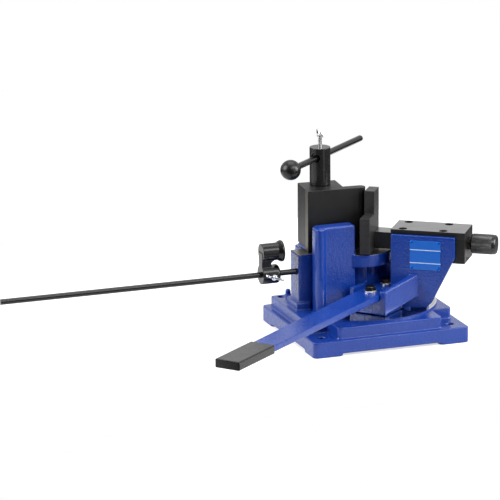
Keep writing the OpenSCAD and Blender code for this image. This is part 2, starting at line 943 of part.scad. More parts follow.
module knob_grub_screw() color(oxide_black)
    on_arm()
        on_grub()
            cylinder(r = grub_radius, h = knob_diameter / 2 - adjust_radius - 2);

// Lever

// Plan of the lever: parallel in the socket, tapered, parallel again in the grip
module lever_outline() {
    grip_start = lever_end - grip_length;
    half = lever_width / 2;
    end_half = lever_end_width / 2;
    polygon([
        [lever_inner_end + side_gap, -half], [socket_end, -half], [grip_start, -end_half],
        [lever_end - grip_wall, -end_half], [lever_end - grip_wall, end_half], [grip_start, end_half],
        [socket_end, half], [lever_inner_end + side_gap, half]
    ]);
}

module lever() color(enamel_blue)
    on_lever()
        difference() {
            translate([0, lever_offset, lever_bottom])
                linear_extrude(lever_thickness)
                    lever_outline();
            for (place = lever_bolt_places)
                post([place, lever_offset], lever_bolt_radius, lever_bottom - eps, lever_top + eps);
        }

// Closed rubber sleeve over the lever's end
module lever_grip() color(rubber_grey)
    on_lever()
        translate([lever_end - grip_length, lever_offset, (lever_top + lever_bottom) / 2])
            rotate([90, 0, 90])
                difference() {
                    linear_extrude(grip_length)
                        round_rect([lever_end_width + 2 * grip_wall, lever_thickness + 2 * grip_wall], grip_corner);
                    translate([0, 0, -eps])
                        linear_extrude(grip_length - grip_wall + eps)
                            square([lever_end_width, lever_thickness], center = true);
                }

module lever_bolts() color(bronze)
    on_lever()
        for (place = lever_bolt_places)
            translate([place, lever_offset, 0]) {
                post([0, 0], lever_bolt_radius, hub_bottom + joint_lap, lever_top + washer_thickness + eps);
                translate([0, 0, lever_top + washer_thickness])
                    rotate(bolt_head_turn)
                        cylinder(r = bolt_head_radius, h = bolt_head_height, $fn = 6);
            }

module lever_washers() color(bright_steel)
    on_lever()
        for (place = lever_bolt_places)
            difference() {
                post([place, lever_offset], washer_radius, lever_top, lever_top + washer_thickness);
                post([place, lever_offset], lever_bolt_radius, lever_top - eps, lever_top + washer_thickness + eps);
            }

// Stop

// Children at the left end of the stop bracket, on the rod's axis
module on_stop() {
    translate([stop_place - stop_length, rod_axis[0], rod_axis[1]])
        children();
}

// Turned upper boss that ends in the flanged stop face
module stop_face() {
    rim = stop_length - stop_flange_rim;
    translate([0, 0, stop_rise])
        rotate([0, 90, 0])
            rotate_extrude()
                polygon([
                    [0, stop_step], [stop_boss_radius, stop_step],
                    [stop_boss_radius, stop_length - stop_flange_length],
                    [stop_diameter / 2, rim], [stop_diameter / 2, stop_length], [0, stop_length]
                ]);
}

// Lower boss, turned with a round shoulder at its right end
module clamp_boss() {
    rotate([0, 90, 0])
        rotate_extrude() {
            square([stop_clamp_radius - stop_shoulder, stop_boss_length]);
            square([stop_clamp_radius, stop_boss_length - stop_shoulder]);
            translate([stop_clamp_radius - stop_shoulder, stop_boss_length - stop_shoulder])
                circle(stop_shoulder);
        }
}

// Figure-of-eight clamp on the rod: lower boss, neck and the boss with the stop face
module stop_bracket() color(oxide_black)
    on_stop()
        difference() {
            union() {
                clamp_boss();
                span([0, -stop_neck_half, 0], [stop_neck_length, stop_neck_half, stop_rise]);
                stop_face();
            }
            rod_bar(0, 0, rod_radius + run_gap, -eps, stop_boss_length + eps);
            translate([stop_neck_length, 0, stop_rise / 2])
                rotate([90, 0, 0])
                    cylinder(r = stop_slot_radius, h = 3 * stop_neck_half, center = true);
            translate([stop_boss_length / 2, 0, 0])
                rotate([90, 0, 0])
                    cylinder(r = wing_radius + run_gap, h = stop_clamp_radius + eps);
        }

module stop_wing_screw() color(bright_steel)
    on_stop()
        translate([stop_boss_length / 2, 0, 0])
            rotate([90, 0, 0]) {
                post([0, 0], wing_radius, rod_radius + tip_gap, stop_clamp_radius + wing_rise);
                translate([0, 0, stop_clamp_radius + wing_width])
                    rotate(wing_turn)
                        thumb_wings(wing_radius);
            }

base_casting();
scale_sector();
scale_screws();
pivot_pin();
pivot_key_screw();
thrust_washer();
spindle_bush();
stop_rod();
rod_set_screw();
bending_die();
clamp_block();
block_screws();
clamp_spindle();
spindle_head();
tommy_bar();
ball_knob();
bar_lock_screw();
arm_casting();
upper_hub_bush();
lower_hub_bush();
label_plate();
label_rivets();
slider_housing();
housing_cover();
housing_screws();
adjuster_bush();
lever();
lever_grip();
lever_bolts();
lever_washers();
slider_bar();
press_jaw();
jaw_screws();
adjusting_screw();
adjusting_knob();
knob_grub_screw();
stop_bracket();
stop_wing_screw();
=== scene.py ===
"""Looks of a universal bench bending machine: enamelled castings, blacked steel
clamp and jaw, bright screws and a grey rubber grip, on a pale studio floor.
Every length is in metres in the frame of the solids, and MM turns millimetres into metres."""

import json
import math

import bmesh
import bpy
from mathutils import Euler, Matrix, Quaternion, Vector


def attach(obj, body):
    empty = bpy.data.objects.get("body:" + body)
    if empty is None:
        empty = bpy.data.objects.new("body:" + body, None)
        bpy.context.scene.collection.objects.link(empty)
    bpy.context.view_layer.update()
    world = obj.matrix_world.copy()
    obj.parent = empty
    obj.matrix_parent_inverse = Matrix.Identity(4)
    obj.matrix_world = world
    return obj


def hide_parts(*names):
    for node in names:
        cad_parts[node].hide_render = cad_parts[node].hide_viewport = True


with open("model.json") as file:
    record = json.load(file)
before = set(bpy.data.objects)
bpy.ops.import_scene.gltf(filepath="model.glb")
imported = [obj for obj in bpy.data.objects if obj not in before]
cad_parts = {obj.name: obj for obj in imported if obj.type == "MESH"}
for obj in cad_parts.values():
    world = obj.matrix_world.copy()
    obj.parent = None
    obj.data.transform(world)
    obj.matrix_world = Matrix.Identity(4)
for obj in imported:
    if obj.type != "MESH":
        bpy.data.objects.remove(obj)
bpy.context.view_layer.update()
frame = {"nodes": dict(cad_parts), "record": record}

MM = 0.001
NODES = frame["nodes"]
BODY_OF = {node: body for body, nodes in frame["record"]["behaviour"]["bodies"].items() for node in nodes}

# Sizes and places of the details, most of them shared with the solids
PIVOT = Vector((0, 19, 0)) * MM
ARM_TURN = math.radians(-35)
LEVER_TURN = math.radians(-140.5)
DIE_TURN = math.radians(-4.5)
SLOT_LEVEL = 132 * MM
SLIDER_LEVEL = 150 * MM
SCALE_TOP = 46 * MM
SCALE_RADIUS = 121 * MM
SCALE_START = math.radians(-125)
SCALE_SWEEP = math.radians(145)
SCALE_MARGIN = 2 * MM
SCALE_LINE_WIDTH = 0.5 * MM
LEVER_TOP = 80 * MM
LEVER_OFFSET = 49.7 * MM
LEVER_BOLTS = (3 * MM, 56 * MM)
BOLT_RADIUS = 5 * MM
BOLT_DEPTH = 33 * MM
BOLT_HALF_WIDTH = 7.3 * MM
BOLT_HEAD_HEIGHT = 6.5 * MM
BOLT_FACING = math.radians(15)
WASHER_RADIUS = 10.5 * MM
WASHER_THICKNESS = 2.5 * MM
KNOB_START = 180 * MM
KNOB_RADIUS = 15.5 * MM
LABEL_PLACE = Vector((113.5, -36.5, 135.5)) * MM
LABEL_THICKNESS = 0.8 * MM
# Heights of the two white rules on the label, and half their width
LABEL_RULES = (144 * MM, 123 * MM)
LABEL_RULE_HALF = 0.7 * MM
# Gaps between the rivets of the label, across and up
RIVET_GAP = (43 * MM, 41 * MM)
RIVET_RADIUS = 1.2 * MM
RIVET_DEPTH = 4 * MM

# The camera of the photograph: a long lens, the frame 500 pixels wide
CAMERA_PLACE = Vector((-2214, -5673.1, 1784.5)) * MM
CAMERA_AZIMUTH = math.radians(21.56)
CAMERA_ELEVATION = math.radians(15.19)
CAMERA_PAN = math.radians(1.873)
CAMERA_TILT = math.radians(0.0122)
CAMERA_LENS = 288.1
CAMERA_SENSOR = 36
CAMERA_FAR = 100

UP = Vector((0, 0, 1))

# Colours


def linear(colour):
    """An sRGB hex colour as linear red, green, blue and alpha."""

    def channel(start):
        value = int(colour[start:start + 2], 16) / 255
        return value / 12.92 if value <= 0.04045 else ((value + 0.055) / 1.055) ** 2.4

    return (channel(1), channel(3), channel(5), 1.0)


# Node trees


def add(tree, kind, out=None, **settings):
    """Add a node. Lower-case settings are its properties, the others its sockets, by value or by link.
    Returns the output named out, or the first one in use."""
    node = tree.nodes.new(kind)
    for name, value in settings.items():
        if name[0].islower():
            setattr(node, name, value)
    for name, value in settings.items():
        if name[0].islower():
            continue
        socket = next(entry for entry in node.inputs
                      if entry.enabled and name in (entry.identifier, entry.name.replace(" ", "_")))
        if isinstance(value, bpy.types.NodeSocket):
            tree.links.new(value, socket)
        else:
            socket.default_value = value
    return next((result for result in node.outputs if result.enabled and out in (None, result.name)), None)


def new_finish(name):
    """An empty material of that name, with its node tree and Object coordinates."""
    material = bpy.data.materials.new(name)
    material.use_nodes = True
    material.node_tree.nodes.clear()
    return material, material.node_tree, add(material.node_tree, "ShaderNodeTexCoord", "Object")


def edge_mask(tree, radius):
    """1 along the edges, where a rounded normal leaves the true one, and 0 on the flats."""
    rounded = add(tree, "ShaderNodeBevel", samples=6, Radius=radius)
    flat = add(tree, "ShaderNodeNewGeometry", "Normal")
    match = add(tree, "ShaderNodeVectorMath", "Value", operation="DOT_PRODUCT", Vector=rounded,
                Vector_001=flat)
    return add(tree, "ShaderNodeMapRange", Value=match, From_Min=0.99, From_Max=0.88, To_Min=0.0, To_Max=1.0)


def cut_lines(tree, place, turn, grain):
    """Streaks left by a cutting tool or a grinding wheel. grain is their size along the turned axes."""
    along = add(tree, "ShaderNodeMapping", vector_type="TEXTURE", Vector=place, Rotation=(0, 0, turn),
                Scale=grain)
    return add(tree, "ShaderNodeTexNoise", Vector=along, Scale=1.0, Detail=3.0)


# Materials

# A noise texture stays mostly within these values
NOISE_LOW = 0.3
NOISE_HIGH = 0.7

# Blues of the label and of its rivets
DARK_INK = "#0B5CC0"
LIGHT_INK = "#146CD0"


def enamel_on_cast_iron():
    """Glossy blue enamel sprayed on rough cast iron: soft ripple from the sand mould, orange peel from
    the spray gun, drawn coarse so that it shows, and a paler blue along the edges, partly the film
    running thin there and partly a painted highlight."""
    material, tree, place = new_finish("enamel_on_cast_iron")
    patches = add(tree, "ShaderNodeTexNoise", Vector=place, Scale=1 / (45 * MM), Detail=3.0)
    body = add(tree, "ShaderNodeMix", data_type="RGBA", Factor_Float=patches,
               A_Color=linear("#10368E"), B_Color=linear("#18429E"))
    # Paler blue along the edges: the film running thin there, and a painted highlight of the light the
    # rounded edges catch
    edges = edge_mask(tree, 1.2 * MM)
    thin = add(tree, "ShaderNodeMath", operation="MULTIPLY", Value=edges, Value_001=0.3)
    colour = add(tree, "ShaderNodeMix", data_type="RGBA", Factor_Float=thin,
                 A_Color=body, B_Color=linear("#6C7CCB"))
    peel = add(tree, "ShaderNodeTexNoise", Vector=place, Scale=1 / (3.2 * MM), Detail=2.0)
    ripple = add(tree, "ShaderNodeTexNoise", Vector=place, Scale=1 / (9 * MM), Detail=2.0)
    gloss = add(tree, "ShaderNodeMapRange", Value=ripple, From_Min=NOISE_LOW, From_Max=NOISE_HIGH,
                To_Min=0.13, To_Max=0.25)
    fine = add(tree, "ShaderNodeBump", Strength=1.0, Distance=0.6 * MM, Height=peel)
    coarse = add(tree, "ShaderNodeBump", Strength=0.5, Distance=0.2 * MM, Height=ripple, Normal=fine)
    shader = add(tree, "ShaderNodeBsdfPrincipled", Base_Color=colour, Roughness=gloss, IOR=1.5, Normal=coarse)
    add(tree, "ShaderNodeOutputMaterial", Surface=shader)
    return material


def blacked_steel(name, turn, grain, dark, light, sheen):
    """Steel ground or turned, then blacked in an oxide bath: near black and satin, the cutting lines
    still in it, and the bare metal showing through along the edges."""
    material, tree, place = new_finish(name)
    lines = cut_lines(tree, place, turn, grain)
    clouds = add(tree, "ShaderNodeTexNoise", Vector=place, Scale=1 / (18 * MM), Detail=3.0)
    oxide = add(tree, "ShaderNodeMix", data_type="RGBA", Factor_Float=clouds,
                A_Color=linear(dark), B_Color=linear(light))
    streaked = add(tree, "ShaderNodeMix", data_type="RGBA", blend_type="MULTIPLY", Factor_Float=0.5,
                   A_Color=oxide, B_Color=lines)
    edges = edge_mask(tree, 0.6 * MM)
    worn = add(tree, "ShaderNodeMath", operation="MULTIPLY", Value=edges, Value_001=0.3)
    mixed = add(tree, "ShaderNodeMix", data_type="RGBA", Factor_Float=worn, A_Color=streaked,
                B_Color=linear("#8C8C8C"))
    gloss = add(tree, "ShaderNodeMapRange", Value=lines, From_Min=NOISE_LOW, From_Max=NOISE_HIGH,
                To_Min=sheen - 0.05, To_Max=sheen + 0.07)
    bump = add(tree, "ShaderNodeBump", Strength=0.15, Distance=0.02 * MM, Height=lines)
    shader = add(tree, "ShaderNodeBsdfPrincipled", Base_Color=mixed, Roughness=gloss, IOR=1.45, Normal=bump)
    add(tree, "ShaderNodeOutputMaterial", Surface=shader)
    return material


def bare_steel(name, turn, grain, dark, light, sheen):
    """Bare steel or iron, milled, ground or turned and oiled: metal with fine lines along the cut."""
    material, tree, place = new_finish(name)
    lines = cut_lines(tree, place, turn, grain)
    tint = add(tree, "ShaderNodeMix", data_type="RGBA", Factor_Float=lines,
               A_Color=linear(dark), B_Color=linear(light))
    gloss = add(tree, "ShaderNodeMapRange", Value=lines, From_Min=NOISE_LOW, From_Max=NOISE_HIGH,
                To_Min=sheen - 0.06, To_Max=sheen + 0.08)
    bump = add(tree, "ShaderNodeBump", Strength=0.15, Distance=0.02 * MM, Height=lines)
    shader = add(tree, "ShaderNodeBsdfPrincipled", Base_Color=tint, Metallic=1.0, Roughness=gloss,
                 Normal=bump)
    add(tree, "ShaderNodeOutputMaterial", Surface=shader)
    return material


def plated_metal(name, colour, stain, sheen):
    """Small parts of plated, anodised or bronze metal: bright, with soft cloudy stains."""
    material, tree, place = new_finish(name)
    clouds = add(tree, "ShaderNodeTexNoise", Vector=place, Scale=1 / (4 * MM), Detail=3.0)
    tint = add(tree, "ShaderNodeMix", data_type="RGBA", Factor_Float=clouds,
               A_Color=linear(colour), B_Color=linear(stain))
    gloss = add(tree, "ShaderNodeMapRange", Value=clouds, From_Min=NOISE_LOW, From_Max=NOISE_HIGH,
                To_Min=sheen - 0.06, To_Max=sheen + 0.08)
    bump = add(tree, "ShaderNodeBump", Strength=0.2, Distance=0.02 * MM, Height=clouds)
    shader = add(tree, "ShaderNodeBsdfPrincipled", Base_Color=tint, Metallic=1.0, Roughness=gloss,
                 Normal=bump)
    add(tree, "ShaderNodeOutputMaterial", Surface=shader)
    return material


def moulded_rubber():
    """Dark grey rubber sleeve from a mould: satin, with a fine grain and a dusty bloom."""
    material, tree, place = new_finish("moulded_rubber")
    bloom = add(tree, "ShaderNodeTexNoise", Vector=place, Scale=1 / (14 * MM), Detail=4.0)
    grain = add(tree, "ShaderNodeTexNoise", Vector=place, Scale=1 / (0.7 * MM), Detail=2.0)
    colour = add(tree, "ShaderNodeMix", data_type="RGBA", Factor_Float=bloom,
                 A_Color=linear("#070707"), B_Color=linear("#0F0F0F"))
    gloss = add(tree, "ShaderNodeMapRange", Value=bloom, From_Min=NOISE_LOW, From_Max=NOISE_HIGH,
                To_Min=0.22, To_Max=0.3)
    bump = add(tree, "ShaderNodeBump", Strength=0.3, Distance=0.05 * MM, Height=grain)
    shader = add(tree, "ShaderNodeBsdfPrincipled", Base_Color=colour, Roughness=gloss, IOR=1.5, Normal=bump)
    add(tree, "ShaderNodeOutputMaterial", Surface=shader)
    return material


def moulded_ball():
    """Black phenolic ball knob from a mould, dulled by hands: deep black with a soft highlight."""
    material, tree, place = new_finish("moulded_phenolic")
    marks = add(tree, "ShaderNodeTexNoise", Vector=place, Scale=1 / (9 * MM), Detail=2.0)
    colour = add(tree, "ShaderNodeMix", data_type="RGBA", Factor_Float=marks,
                 A_Color=linear("#080808"), B_Color=linear("#0C0C0C"))
    gloss = add(tree, "ShaderNodeMapRange", Value=marks, From_Min=NOISE_LOW, From_Max=NOISE_HIGH,
                To_Min=0.3, To_Max=0.33)
    bump = add(tree, "ShaderNodeBump", Strength=0.1, Distance=0.01 * MM, Height=marks)
    shader = add(tree, "ShaderNodeBsdfPrincipled", Base_Color=colour, Roughness=gloss, IOR=1.45, Normal=bump)
    add(tree, "ShaderNodeOutputMaterial", Surface=shader)
    return material


def printed_label():
    """Blank label of screen-printed sheet: an even bright blue ink with a slight mottle, ruled into
    empty fields by thin white lines."""
    material, tree, place = new_finish("printed_sheet_label")
    mottle = add(tree, "ShaderNodeTexNoise", Vector=place, Scale=1 / (2.5 * MM), Detail=3.0)
    ink = add(tree, "ShaderNodeMix", data_type="RGBA", Factor_Float=mottle,
              A_Color=linear(DARK_INK), B_Color=linear(LIGHT_INK))
    height = add(tree, "ShaderNodeSeparateXYZ", "Z", Vector=place)
    rules = [add(tree, "ShaderNodeMath", operation="COMPARE", Value=height, Value_001=level,
                 Value_002=LABEL_RULE_HALF) for level in LABEL_RULES]
    ruled = add(tree, "ShaderNodeMath", operation="MAXIMUM", Value=rules[0], Value_001=rules[1])
    colour = add(tree, "ShaderNodeMix", data_type="RGBA", Factor_Float=ruled,
                 A_Color=ink, B_Color=linear("#C8DAF2"))
    bump = add(tree, "ShaderNodeBump", Strength=0.1, Distance=0.02 * MM, Height=mottle)
    shader = add(tree, "ShaderNodeBsdfPrincipled", Base_Color=colour, Roughness=0.35, IOR=1.5, Normal=bump)
    add(tree, "ShaderNodeOutputMaterial", Surface=shader)
    return material


# Sizes of the cutting lines along X, Y and Z, coarser than real ones so that they show
GROUND_GRAIN = (70 * MM, 1.1 * MM, 1.1 * MM)
UPRIGHT_GRAIN = (2 * MM, 2 * MM, 120 * MM)
TURNED_GRAIN = (0.9 * MM, 0.9 * MM, 0.9 * MM)

ENAMEL = enamel_on_cast_iron()
BLACK_DIE = blacked_steel("blacked_steel_die", DIE_TURN, UPRIGHT_GRAIN, "#0B0B0B", "#151515", sheen=0.44)
BLACK_ARM = blacked_steel("blacked_steel_housing", ARM_TURN, GROUND_GRAIN, "#141414", "#222222", sheen=0.36)
# A lighter blacking for the slider and jaw than for the housing: painted light, making up for the shade under
# the housing
BLACK_SLIDE_PAINTED_LIGHT = blacked_steel("blacked_steel_slide", ARM_TURN, GROUND_GRAIN, "#242424", "#363636", sheen=0.4)
BLACK_TURNED = blacked_steel("blacked_steel_turned", 0, TURNED_GRAIN, "#1A1A1A", "#2A2A2A", sheen=0.22)
# A darker blacking for the knob's end face: painted shade, which keeps that face from catching the right soft
# box
BLACK_SHADED_END = blacked_steel("blacked_steel_faced", 0, TURNED_GRAIN, "#080808", "#101010", sheen=0.6)
BLACK_KNURL = blacked_steel("blacked_steel_knurled", 0, TURNED_GRAIN, "#202020", "#383838", sheen=0.12)
BLACK_BRACKET = blacked_steel("blacked_steel_polished", 0, TURNED_GRAIN, "#080808", "#101010", sheen=0.2)
MILLED_IRON = bare_steel("milled_cast_iron", 0, GROUND_GRAIN, "#6E6C66", "#8E8C86", sheen=0.34)
SAWN_STEEL = bare_steel("milled_die_end", DIE_TURN, UPRIGHT_GRAIN, "#5C5850", "#78746C", sheen=0.42)
# Bare ground steel for the tops of the cover and slider, lighter than their black sides partly as a painted
# highlight from above
GROUND_STEEL_AND_HIGHLIGHT = bare_steel("ground_steel", ARM_TURN, GROUND_GRAIN, "#7C7C7C", "#9A9A9B", sheen=0.32)
SCALE_STEEL = bare_steel("polished_scale_steel", 0, TURNED_GRAIN, "#B8B8B8", "#D0D0D0", sheen=0.1)
TURNED_STEEL = bare_steel("turned_steel", 0, TURNED_GRAIN, "#A8A8A6", "#C6C6C4", sheen=0.26)
ZINC = plated_metal("zinc_plate", "#CFD1D4", "#ECEDEE", sheen=0.28)
PASSIVATED = plated_metal("yellow_passivated_steel", "#3A362C", "#625A46", sheen=0.3)
BLUE_ALUMINIUM = plated_metal("blue_anodised_aluminium", DARK_INK, LIGHT_INK, sheen=0.3)
BRONZE = plated_metal("turned_bronze", "#A47A3C", "#C09A5A", sheen=0.32)
RUBBER = moulded_rubber()
PHENOLIC = moulded_ball()
LABEL = printed_label()

# Making pieces

# An edge sharper than this is rounded, where a face beside it is at least this large
SHARP = math.radians(28)
FLAT_AREA = 60 * MM * MM
# Share of the room at its ends that a rounded edge may take
ROOM_SHARE = 0.4
# Cosines from which an edge goes straight on and a face looks one way
STRAIGHT_ON = 0.85
SAME_WAY = 0.95
# How far from its level a machined face may lie
LEVEL_SLACK = 0.6 * MM
# Points this close are one point, and faces turned by less than this are one plane
SAME_POINT = 0.002 * MM
SAME_PLANE = math.radians(0.3)
# Faces that meet at less than these angles shade as one, on pieces and on small details
SMOOTH_BELOW = math.radians(40)
DETAIL_SMOOTH_BELOW = math.radians(30)


def plain_mesh(piece):
    """Bake the modifiers of a piece into its mesh and remove them."""
    bpy.context.view_layer.update()
    baked = bpy.data.meshes.new_from_object(piece.evaluated_get(bpy.context.evaluated_depsgraph_get()))
    piece.modifiers.clear()
    piece.data = baked


def new_piece(name, mesh):
    """An object of the scene that holds a mesh."""
    piece = bpy.data.objects.new(name, mesh)
    bpy.context.scene.collection.objects.link(piece)
    return piece


def stand_for(piece, node):
    """The piece moves as the node does and is shown in its place."""
    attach(piece, BODY_OF[node])
    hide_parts(node)


def merged_copy(node):
    """The node's loose triangles joined into a closed shell, with flat faces made whole."""
    shell = bmesh.new()
    shell.from_mesh(NODES[node].data)
    bmesh.ops.remove_doubles(shell, verts=shell.verts, dist=SAME_POINT)
    bmesh.ops.dissolve_limit(shell, angle_limit=SAME_PLANE, verts=shell.verts, edges=shell.edges)
    return shell


def room_at(edge, end):
    """Length of the shortest edge that turns away at this end of an edge."""
    along = (end.co - edge.other_vert(end).co).normalized()
    lengths = [1.0]
    for other in end.link_edges:
        if other is edge:
            continue
        if (other.other_vert(end).co - end.co).normalized().dot(along) < STRAIGHT_ON:
            lengths.append(other.calc_length())
    return min(lengths)


def weigh_edges(shell, radius):
    """Give each sharp edge beside a flat face the share of the radius that there is room for."""
    weight = shell.edges.layers.float.new("bevel_weight_edge")
    for edge in shell.edges:
        if len(edge.link_faces) != 2 or edge.calc_face_angle() < SHARP:
            continue
        if max(face.calc_area() for face in edge.link_faces) < FLAT_AREA:
            continue
        room = min(room_at(edge, end) for end in edge.verts)
        edge[weight] = min(1.0, ROOM_SHARE * room / radius)


def rounded_piece(node, material, radius, segments=3):
    """A copy of the node with its edges rounded."""
    shell = merged_copy(node)
    weigh_edges(shell, radius)
    mesh = bpy.data.meshes.new(node + "_finished")
    shell.to_mesh(mesh)
    shell.free()
    mesh.materials.append(material)
    mesh.shade_smooth()
    mesh.set_sharp_from_angle(angle=SMOOTH_BELOW)
    piece = new_piece(node + "_finished", mesh)
    edges = piece.modifiers.new("edges", "BEVEL")
    edges.limit_method = "WEIGHT"
    edges.width = radius
    edges.segments = segments
    edges.use_clamp_overlap = False
    edges.harden_normals = True
    plain_mesh(piece)
    stand_for(piece, node)
    return piece


def cast_piece(node, material, grain, runs=6, kept=0.3):
    """A copy of the node as a foundry pours it, every corner run soft: cut into cells of the grain,
    smoothed that many times over, and thinned to the share of its faces that is kept."""
    shell = merged_copy(node)
    mesh = bpy.data.meshes.new(node + "_finished")
    shell.to_mesh(mesh)
    shell.free()
    piece = new_piece(node + "_finished", mesh)
    cells = piece.modifiers.new("cells", "REMESH")
    cells.mode = "VOXEL"
    cells.voxel_size = grain
    soft = piece.modifiers.new("soft", "SMOOTH")
    soft.factor = 0.5
    soft.iterations = runs
    fewer = piece.modifiers.new("fewer", "DECIMATE")
    fewer.ratio = kept
    plain_mesh(piece)
    piece.data.materials.append(material)
    piece.data.shade_smooth()
    even = piece.modifiers.new("even", "WEIGHTED_NORMAL")
    even.keep_sharp = False
    plain_mesh(piece)
    stand_for(piece, node)
    return piece


def machine(piece, material, way, level=None):
    """Give the faces that look one way, at one level if it is given, a second finish: that of a machined
    face, and on some pieces painted light or shade on that side.
    """
    piece.data.materials.append(material)
    for face in piece.data.polygons:
        at_level = level is None or abs(face.center.z - level) < LEVEL_SLACK
        if at_level and face.normal.dot(way) > SAME_WAY:
            face.material_index = 1


# Repeated details

# Points to a ring
STEPS = 72
# Where the chamfer of a bolt head starts, as a share of half its width, and its slope
CHAMFER_START = 0.93
CHAMFER_SLOPE = 0.58


def loft(name, rings, closed=False):
    """A smooth skin through rings of points. It is capped at both ends, or closed on itself."""
    count = len(rings[0])
    points = [point for ring in rings for point in ring]
    faces = []
    for level in range(len(rings) if closed else len(rings) - 1):
        low = level * count
        high = (level + 1) % len(rings) * count
        for step in range(count):
            after = (step + 1) % count
            faces.append((low + step, low + after, high + after, high + step))
    if not closed:
        faces.append(tuple(reversed(range(count))))
        faces.append(tuple(range(len(points) - count, len(points))))
    mesh = bpy.data.meshes.new(name)
    mesh.from_pydata(points, [], faces)
    mesh.shade_smooth()
    mesh.set_sharp_from_angle(angle=DETAIL_SMOOTH_BELOW)
    return mesh


def circle(radius, height):
    """A ring of points round the Z axis."""
    turns = [2 * math.pi * step / STEPS for step in range(STEPS)]
    return [(radius * math.cos(turn), radius * math.sin(turn), height) for turn in turns]


def hexagon(flat, height, chamfer):
    """A six-sided ring, its corners lowered by the slope of a chamfer. flat is half the width."""
    ring = []
    for step in range(STEPS):
        turn = 2 * math.pi * step / STEPS
        reach = flat / math.cos((turn + math.pi / 6) % (math.pi / 3) - math.pi / 6)
        fall = chamfer * (reach - CHAMFER_START * flat)
        ring.append((reach * math.cos(turn), reach * math.sin(turn), height - fall))
    return ring


def hex_bolt(flat, height, shank, depth):
    """Hexagon bolt with a chamfered head, standing on Z = 0."""
    return loft("hex_bolt", [
        circle(shank, -depth), circle(shank, 0), hexagon(flat, 0, 0), hexagon(flat, height, CHAMFER_SLOPE),
        circle(CHAMFER_START * flat, height),
    ])


def washer(radius, hole, thickness):
    """Flat washer with eased rims, standing on Z = 0."""
    ease = 0.25 * thickness
    return loft("washer", [
        circle(radius, 0), circle(radius, thickness - ease), circle(radius - ease, thickness),
        circle(hole, thickness), circle(hole, 0),
    ], closed=True)


def dome_rivet(radius, depth):
    """Rivet with a low round head twice as wide as its shank, standing on Z = 0."""
    rise = 0.9 * radius
    lifts = (0, 0.4, 0.8, 1.15, 1.45)
    head = [circle(2 * radius * math.cos(lift), rise * math.sin(lift)) for lift in lifts]
    return loft("dome_rivet", [circle(radius, -depth), circle(radius, 0)] + head)


def pyramid(half, height):
    """One tooth of a diamond knurl, its point along +X."""
    mesh = bpy.data.meshes.new("knurl_tooth")
    foot = -0.3 * height
    corners = [(foot, -half, 0), (foot, 0, -half), (foot, half, 0), (foot, 0, half)]
    point = (height, 0, 0)
    sides = [(0, 1, 4), (1, 2, 4), (2, 3, 4), (3, 0, 4)]
    mesh.from_pydata(corners + [point], [], sides + [(3, 2, 1, 0)])
    return mesh


def graduation(length, width):
    """One line of the angle scale: ink that stands just proud of its groove and runs inwards along -X."""
    rise = 0.04 * MM
    ease = width / 4
    half = width / 2
    inner_half = half - ease
    far = ease - length
    outline = [(0, -half), (0, half), (-length, half), (-length, -half)]
    inner = [(-ease, -inner_half), (-ease, inner_half), (far, inner_half), (far, -inner_half)]
    return loft("graduation", [[(x, y, -rise) for x, y in outline], [(x, y, rise) for x, y in inner]])


def new_tree(name, inputs):
    """A tree of copies with its inputs, and the column and row of each copy."""
    tree = bpy.data.node_groups.new(name, "GeometryNodeTree")
    for label, kind in inputs.items():
        tree.interface.new_socket(label, in_out="INPUT", socket_type="NodeSocket" + kind)
    tree.interface.new_socket("Mesh", in_out="OUTPUT", socket_type="NodeSocketGeometry")
    given = tree.nodes.new("NodeGroupInput").outputs
    index = add(tree, "GeometryNodeInputIndex")
    share = add(tree, "ShaderNodeMath", operation="DIVIDE", Value=index, Value_001=given["Count"])
    row = add(tree, "ShaderNodeMath", operation="FLOOR", Value=share)
    column = add(tree, "ShaderNodeMath", operation="MODULO", Value=index, Value_001=given["Count"])
    return tree, given, column, row


def put_copies(tree, given, position, turn):
    """Copies of the detail at the positions, turned about the Z axis, as one mesh with the finish."""
    number = add(tree, "ShaderNodeMath", operation="MULTIPLY", Value=given["Count"], Value_001=given["Rows"])
    points = add(tree, "GeometryNodePoints", Count=number, Position=position)
    facing = add(tree, "FunctionNodeAxisAngleToRotation", Axis=(0, 0, 1), Angle=turn)
    detail = add(tree, "GeometryNodeObjectInfo", "Geometry", Object=given["Detail"])
    copies = add(tree, "GeometryNodeInstanceOnPoints", Points=points, Instance=detail, Rotation=facing)
    whole = add(tree, "GeometryNodeRealizeInstances", Geometry=copies)
    coated = add(tree, "GeometryNodeSetMaterial", Geometry=whole, Material=given["Finish"])
    add(tree, "NodeGroupOutput", Mesh=coated)
    return tree


def ring_tree():
    """Rows of copies round the Z axis: Count to a row, Step apart in angle from Start, each row set
    Pitch higher than the last and turned on by Stagger steps."""
    tree, given, column, row = new_tree("copies_in_rings", {
        "Count": "Int", "Rows": "Int", "Radius": "Float", "Pitch": "Float", "Start": "Float", "Step": "Float",
        "Stagger": "Float", "Detail": "Object", "Finish": "Material",
    })
    place = add(tree, "ShaderNodeMath", operation="MULTIPLY_ADD", Value=row, Value_001=given["Stagger"],
                Value_002=column)
    turn = add(tree, "ShaderNodeMath", operation="MULTIPLY_ADD", Value=place, Value_001=given["Step"],
               Value_002=given["Start"])
    height = add(tree, "ShaderNodeMath", operation="MULTIPLY", Value=row, Value_001=given["Pitch"])
    reach = add(tree, "ShaderNodeCombineXYZ", X=given["Radius"], Z=height)
    position = add(tree, "ShaderNodeVectorRotate", rotation_type="Z_AXIS", Vector=reach, Angle=turn)
    return put_copies(tree, given, position, turn)


